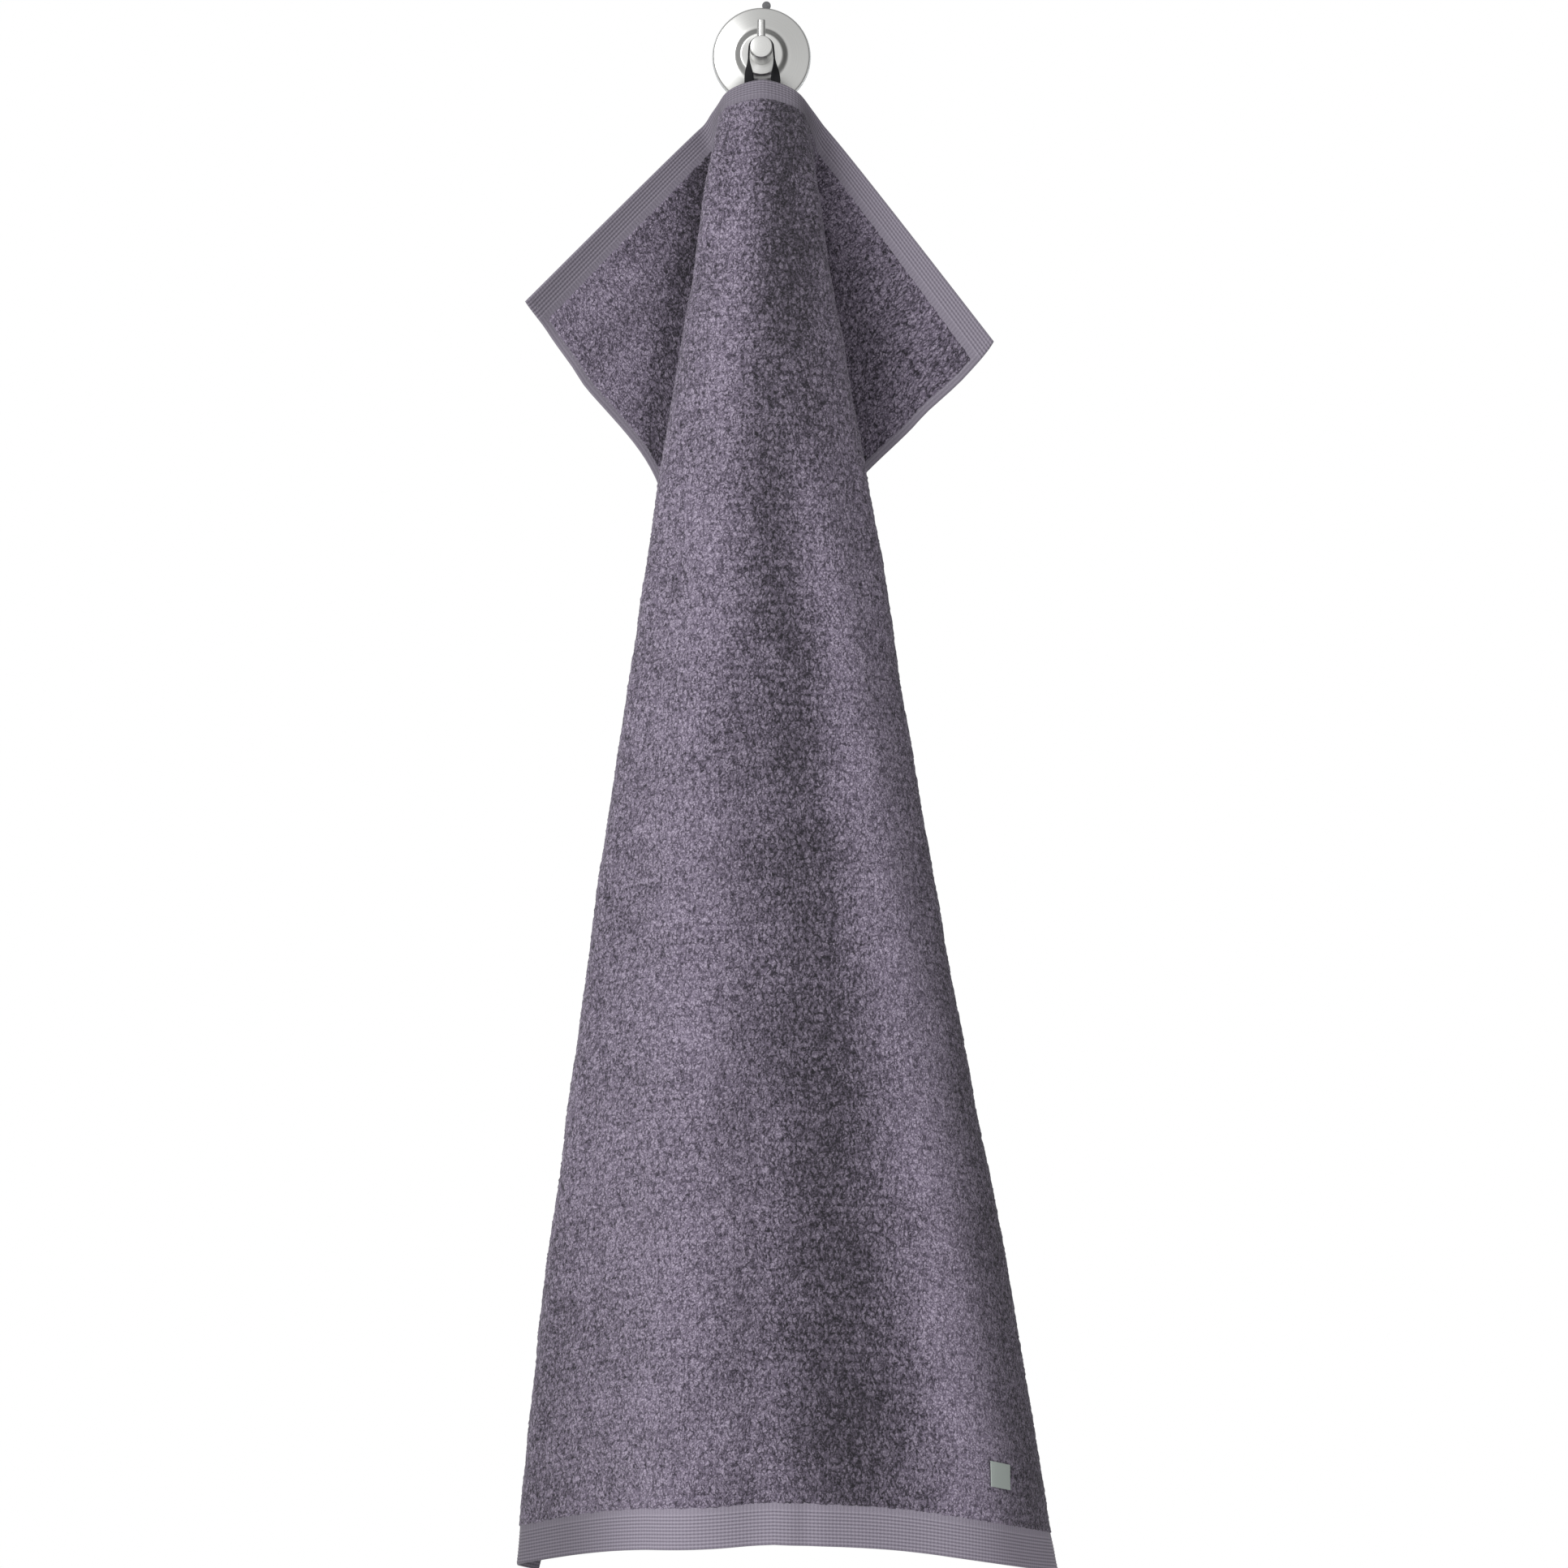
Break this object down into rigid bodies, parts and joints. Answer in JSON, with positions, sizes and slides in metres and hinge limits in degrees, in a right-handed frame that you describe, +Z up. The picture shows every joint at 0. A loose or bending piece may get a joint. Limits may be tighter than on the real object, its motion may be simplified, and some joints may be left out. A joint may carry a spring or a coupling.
{
  "type": "hand towel on a suction hook",
  "caption": "Terry hand towel hanging by its tape loop from a round stainless suction hook, its upper corners falling as side flaps and its front opening into a broad bell.",
  "frame": {"origin": "middle of the suction cup's flat back, on the wall plane", "axes": "+Z up, +Y into the wall, the towel's front faces -Y"},
  "size_m": [0.3727, 0.1408, 1.0873],
  "materials": {
    "clear_cup": "clear flexible plastic",
    "grey_tab": "dark grey soft plastic",
    "brushed_cap": "stainless steel, brushed in circles",
    "satin_peg": "satin stainless steel",
    "polished_pin": "polished stainless steel",
    "black_tape": "flat woven cotton tape, black",
    "terry_cloth": "mauve-grey cotton terry with ribbed hem bands",
    "woven_label": "plain pale grey-green woven label"
  },
  "bodies": {
    "root": {"suction_cup": "clear_cup", "release_tab": "grey_tab", "cap": "brushed_cap", "peg": "satin_peg", "pin": "polished_pin", "hanger_loop": "black_tape", "towel": "terry_cloth", "label": "woven_label"}
  },
  "joints": []
}
